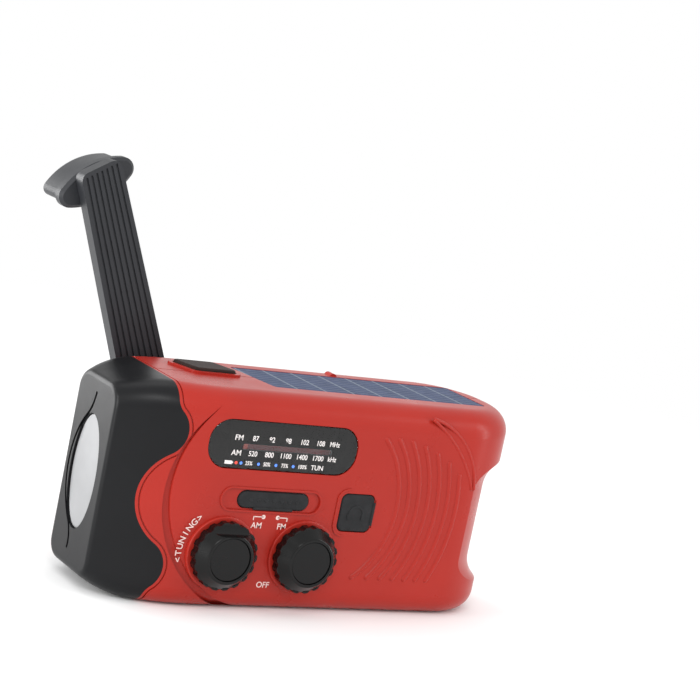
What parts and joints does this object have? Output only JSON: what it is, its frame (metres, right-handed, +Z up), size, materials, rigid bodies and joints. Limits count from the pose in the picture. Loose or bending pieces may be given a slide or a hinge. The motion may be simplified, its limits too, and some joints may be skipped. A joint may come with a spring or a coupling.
{
  "type": "emergency radio",
  "caption": "Hand-crank and solar emergency radio with a tuning dial, two knobs, a torch head, a folding crank arm and a telescopic aerial.",
  "frame": {"origin": "centre of the underside, on the battery door", "axes": "+X from the torch head to the tail, -Y out of the dial side, +Z up"},
  "size_m": [0.1364, 0.0712, 0.112],
  "materials": {
    "red_shell": "satin moulded",
    "black_plastic": "fine spark texture",
    "knob_cap": "satin",
    "clear_plastic": "polished",
    "reflector_chrome": "vacuum plated",
    "led_white": "clear epoxy",
    "board_green": "solder mask",
    "dial_black": "printed",
    "dial_red": "painted",
    "cord_fibre": "braided",
    "steel": "nickel plated",
    "chrome": "polished",
    "rubber_black": "matt",
    "inner_plastic": "acetal",
    "led_mix": "clear epoxy",
    "solar_blue": "crystalline",
    "battery_wrap": "shrink wrap",
    "speaker_steel": "zinc",
    "speaker_paper": "paper",
    "ferrite_grey": "sintered",
    "copper": "enamelled wire",
    "zinc": "die cast"
  },
  "bodies": {
    "casing": {"aerial_bracket": "steel", "battery_cell": "battery_wrap", "battery_clips": "steel", "battery_door": "black_plastic", "battery_door_screw": "steel", "board_chips": "inner_plastic", "board_screws": "steel", "case_screws": "steel", "charge_leds": "led_mix", "cord_posts": "steel", "crank_bearing": "steel", "dial_backing": "dial_red", "dial_cord": "cord_fibre", "dial_plate": "dial_black", "dial_window": "clear_plastic", "earphone_jack": "inner_plastic", "ferrite_coil": "copper", "ferrite_rod": "ferrite_grey", "front_shell": "red_shell", "gearbox_frame": "inner_plastic", "generator_case": "zinc", "head_cap": "black_plastic", "lamp_switch": "inner_plastic", "main_board": "board_green", "micro_usb_socket": "steel", "rear_shell": "red_shell", "solar_cell": "solar_blue", "solar_cover": "clear_plastic", "speaker_cone": "speaker_paper", "speaker_frame": "speaker_steel", "stator_coil": "copper", "step_gear_pin": "steel", "torch_board": "board_green", "torch_leds": "led_white", "torch_lens": "clear_plastic", "torch_reflector": "reflector_chrome", "tuning_capacitor": "steel", "usb_socket": "steel", "volume_pot": "steel"},
    "tuning_control": {"tuning_knob": "black_plastic", "tuning_knob_cap": "knob_cap", "tuning_shaft": "steel"},
    "needle": {"dial_needle": "dial_red"},
    "volume_control": {"volume_knob": "black_plastic", "volume_knob_cap": "knob_cap", "volume_shaft": "steel"},
    "lamp_button": {"light_button": "rubber_black"},
    "usb_flap": {"usb_cover": "rubber_black"},
    "earphone_flap": {"earphone_cover": "rubber_black"},
    "crank": {"crank_gear": "inner_plastic", "crank_hub": "black_plastic", "crank_hinge_pin": "steel"},
    "step_wheel": {"step_gear": "inner_plastic"},
    "rotor_wheel": {"rotor": "zinc"},
    "arm": {"crank_arm": "black_plastic", "grip_axle": "steel"},
    "grip": {"crank_grip": "black_plastic"},
    "aerial_outer": {"aerial_base": "chrome"},
    "aerial_mid": {"aerial_middle": "chrome"},
    "aerial_end": {"aerial_tip": "chrome"}
  },
  "joints": [
    {"name": "tuning_turn", "type": "hinge", "parent": "casing", "child": "tuning_control", "pos_m": [-0.0304, -0.024, 0.0161], "axis": [0, 1, 0], "range_deg": [0, 180]},
    {"name": "needle_slide", "type": "slide", "parent": "casing", "child": "needle", "axis": [1, 0, 0], "range_m": [0, 0.0252]},
    {"name": "volume_turn", "type": "hinge", "parent": "casing", "child": "volume_control", "pos_m": [-0.0053, -0.024, 0.0161], "axis": [0, 1, 0], "range_deg": [0, 270]},
    {"name": "lamp_press", "type": "slide", "parent": "casing", "child": "lamp_button", "axis": [0, 0, -1], "range_m": [0, 0.001], "stiffness_N_per_m": 500},
    {"name": "usb_cover_open", "type": "hinge", "parent": "casing", "child": "usb_flap", "pos_m": [-0.0172, -0.0222, 0.029], "axis": [1, 0, 0], "range_deg": [0, 100]},
    {"name": "earphone_cover_open", "type": "hinge", "parent": "casing", "child": "earphone_flap", "pos_m": [0.01475, -0.0222, 0.02925], "axis": [0, 0, 1], "range_deg": [0, 100]},
    {"name": "crank_turn", "type": "hinge", "parent": "casing", "child": "crank", "pos_m": [-0.03, 0.024, 0.03], "axis": [0, 1, 0], "continuous": true},
    {"name": "step_gear_turn", "type": "hinge", "parent": "casing", "child": "step_wheel", "pos_m": [-0.04315, 0.01, 0.01685], "axis": [0, 1, 0], "continuous": true},
    {"name": "rotor_turn", "type": "hinge", "parent": "casing", "child": "rotor_wheel", "pos_m": [-0.03911, 0, 0.03192], "axis": [0, 1, 0], "continuous": true},
    {"name": "arm_fold", "type": "hinge", "parent": "crank", "child": "arm", "pos_m": [-0.03, 0.02475, 0.03], "axis": [-0.9171, 0, -0.3987], "range_deg": [0, 180]},
    {"name": "grip_spin", "type": "hinge", "parent": "arm", "child": "grip", "pos_m": [-0.06218, 0.03, 0.10401], "axis": [0, 1, 0], "continuous": true},
    {"name": "aerial_swing", "type": "hinge", "parent": "casing", "child": "aerial_outer", "pos_m": [0.054, 0.0192, 0.0514], "axis": [0, 1, 0], "range_deg": [0, 180]},
    {"name": "aerial_pull_middle", "type": "slide", "parent": "aerial_outer", "child": "aerial_mid", "axis": [-1, 0, 0], "range_m": [0, 0.058]},
    {"name": "aerial_pull_tip", "type": "slide", "parent": "aerial_mid", "child": "aerial_end", "axis": [-1, 0, 0], "range_m": [0, 0.058]}
  ],
  "couplings": [
    {"joint": "needle_slide", "follows": "tuning_turn", "m_per_rad": 0.008},
    {"joint": "step_gear_turn", "follows": "crank_turn", "ratio": -4.1667},
    {"joint": "rotor_turn", "follows": "crank_turn", "ratio": 13.889}
  ]
}
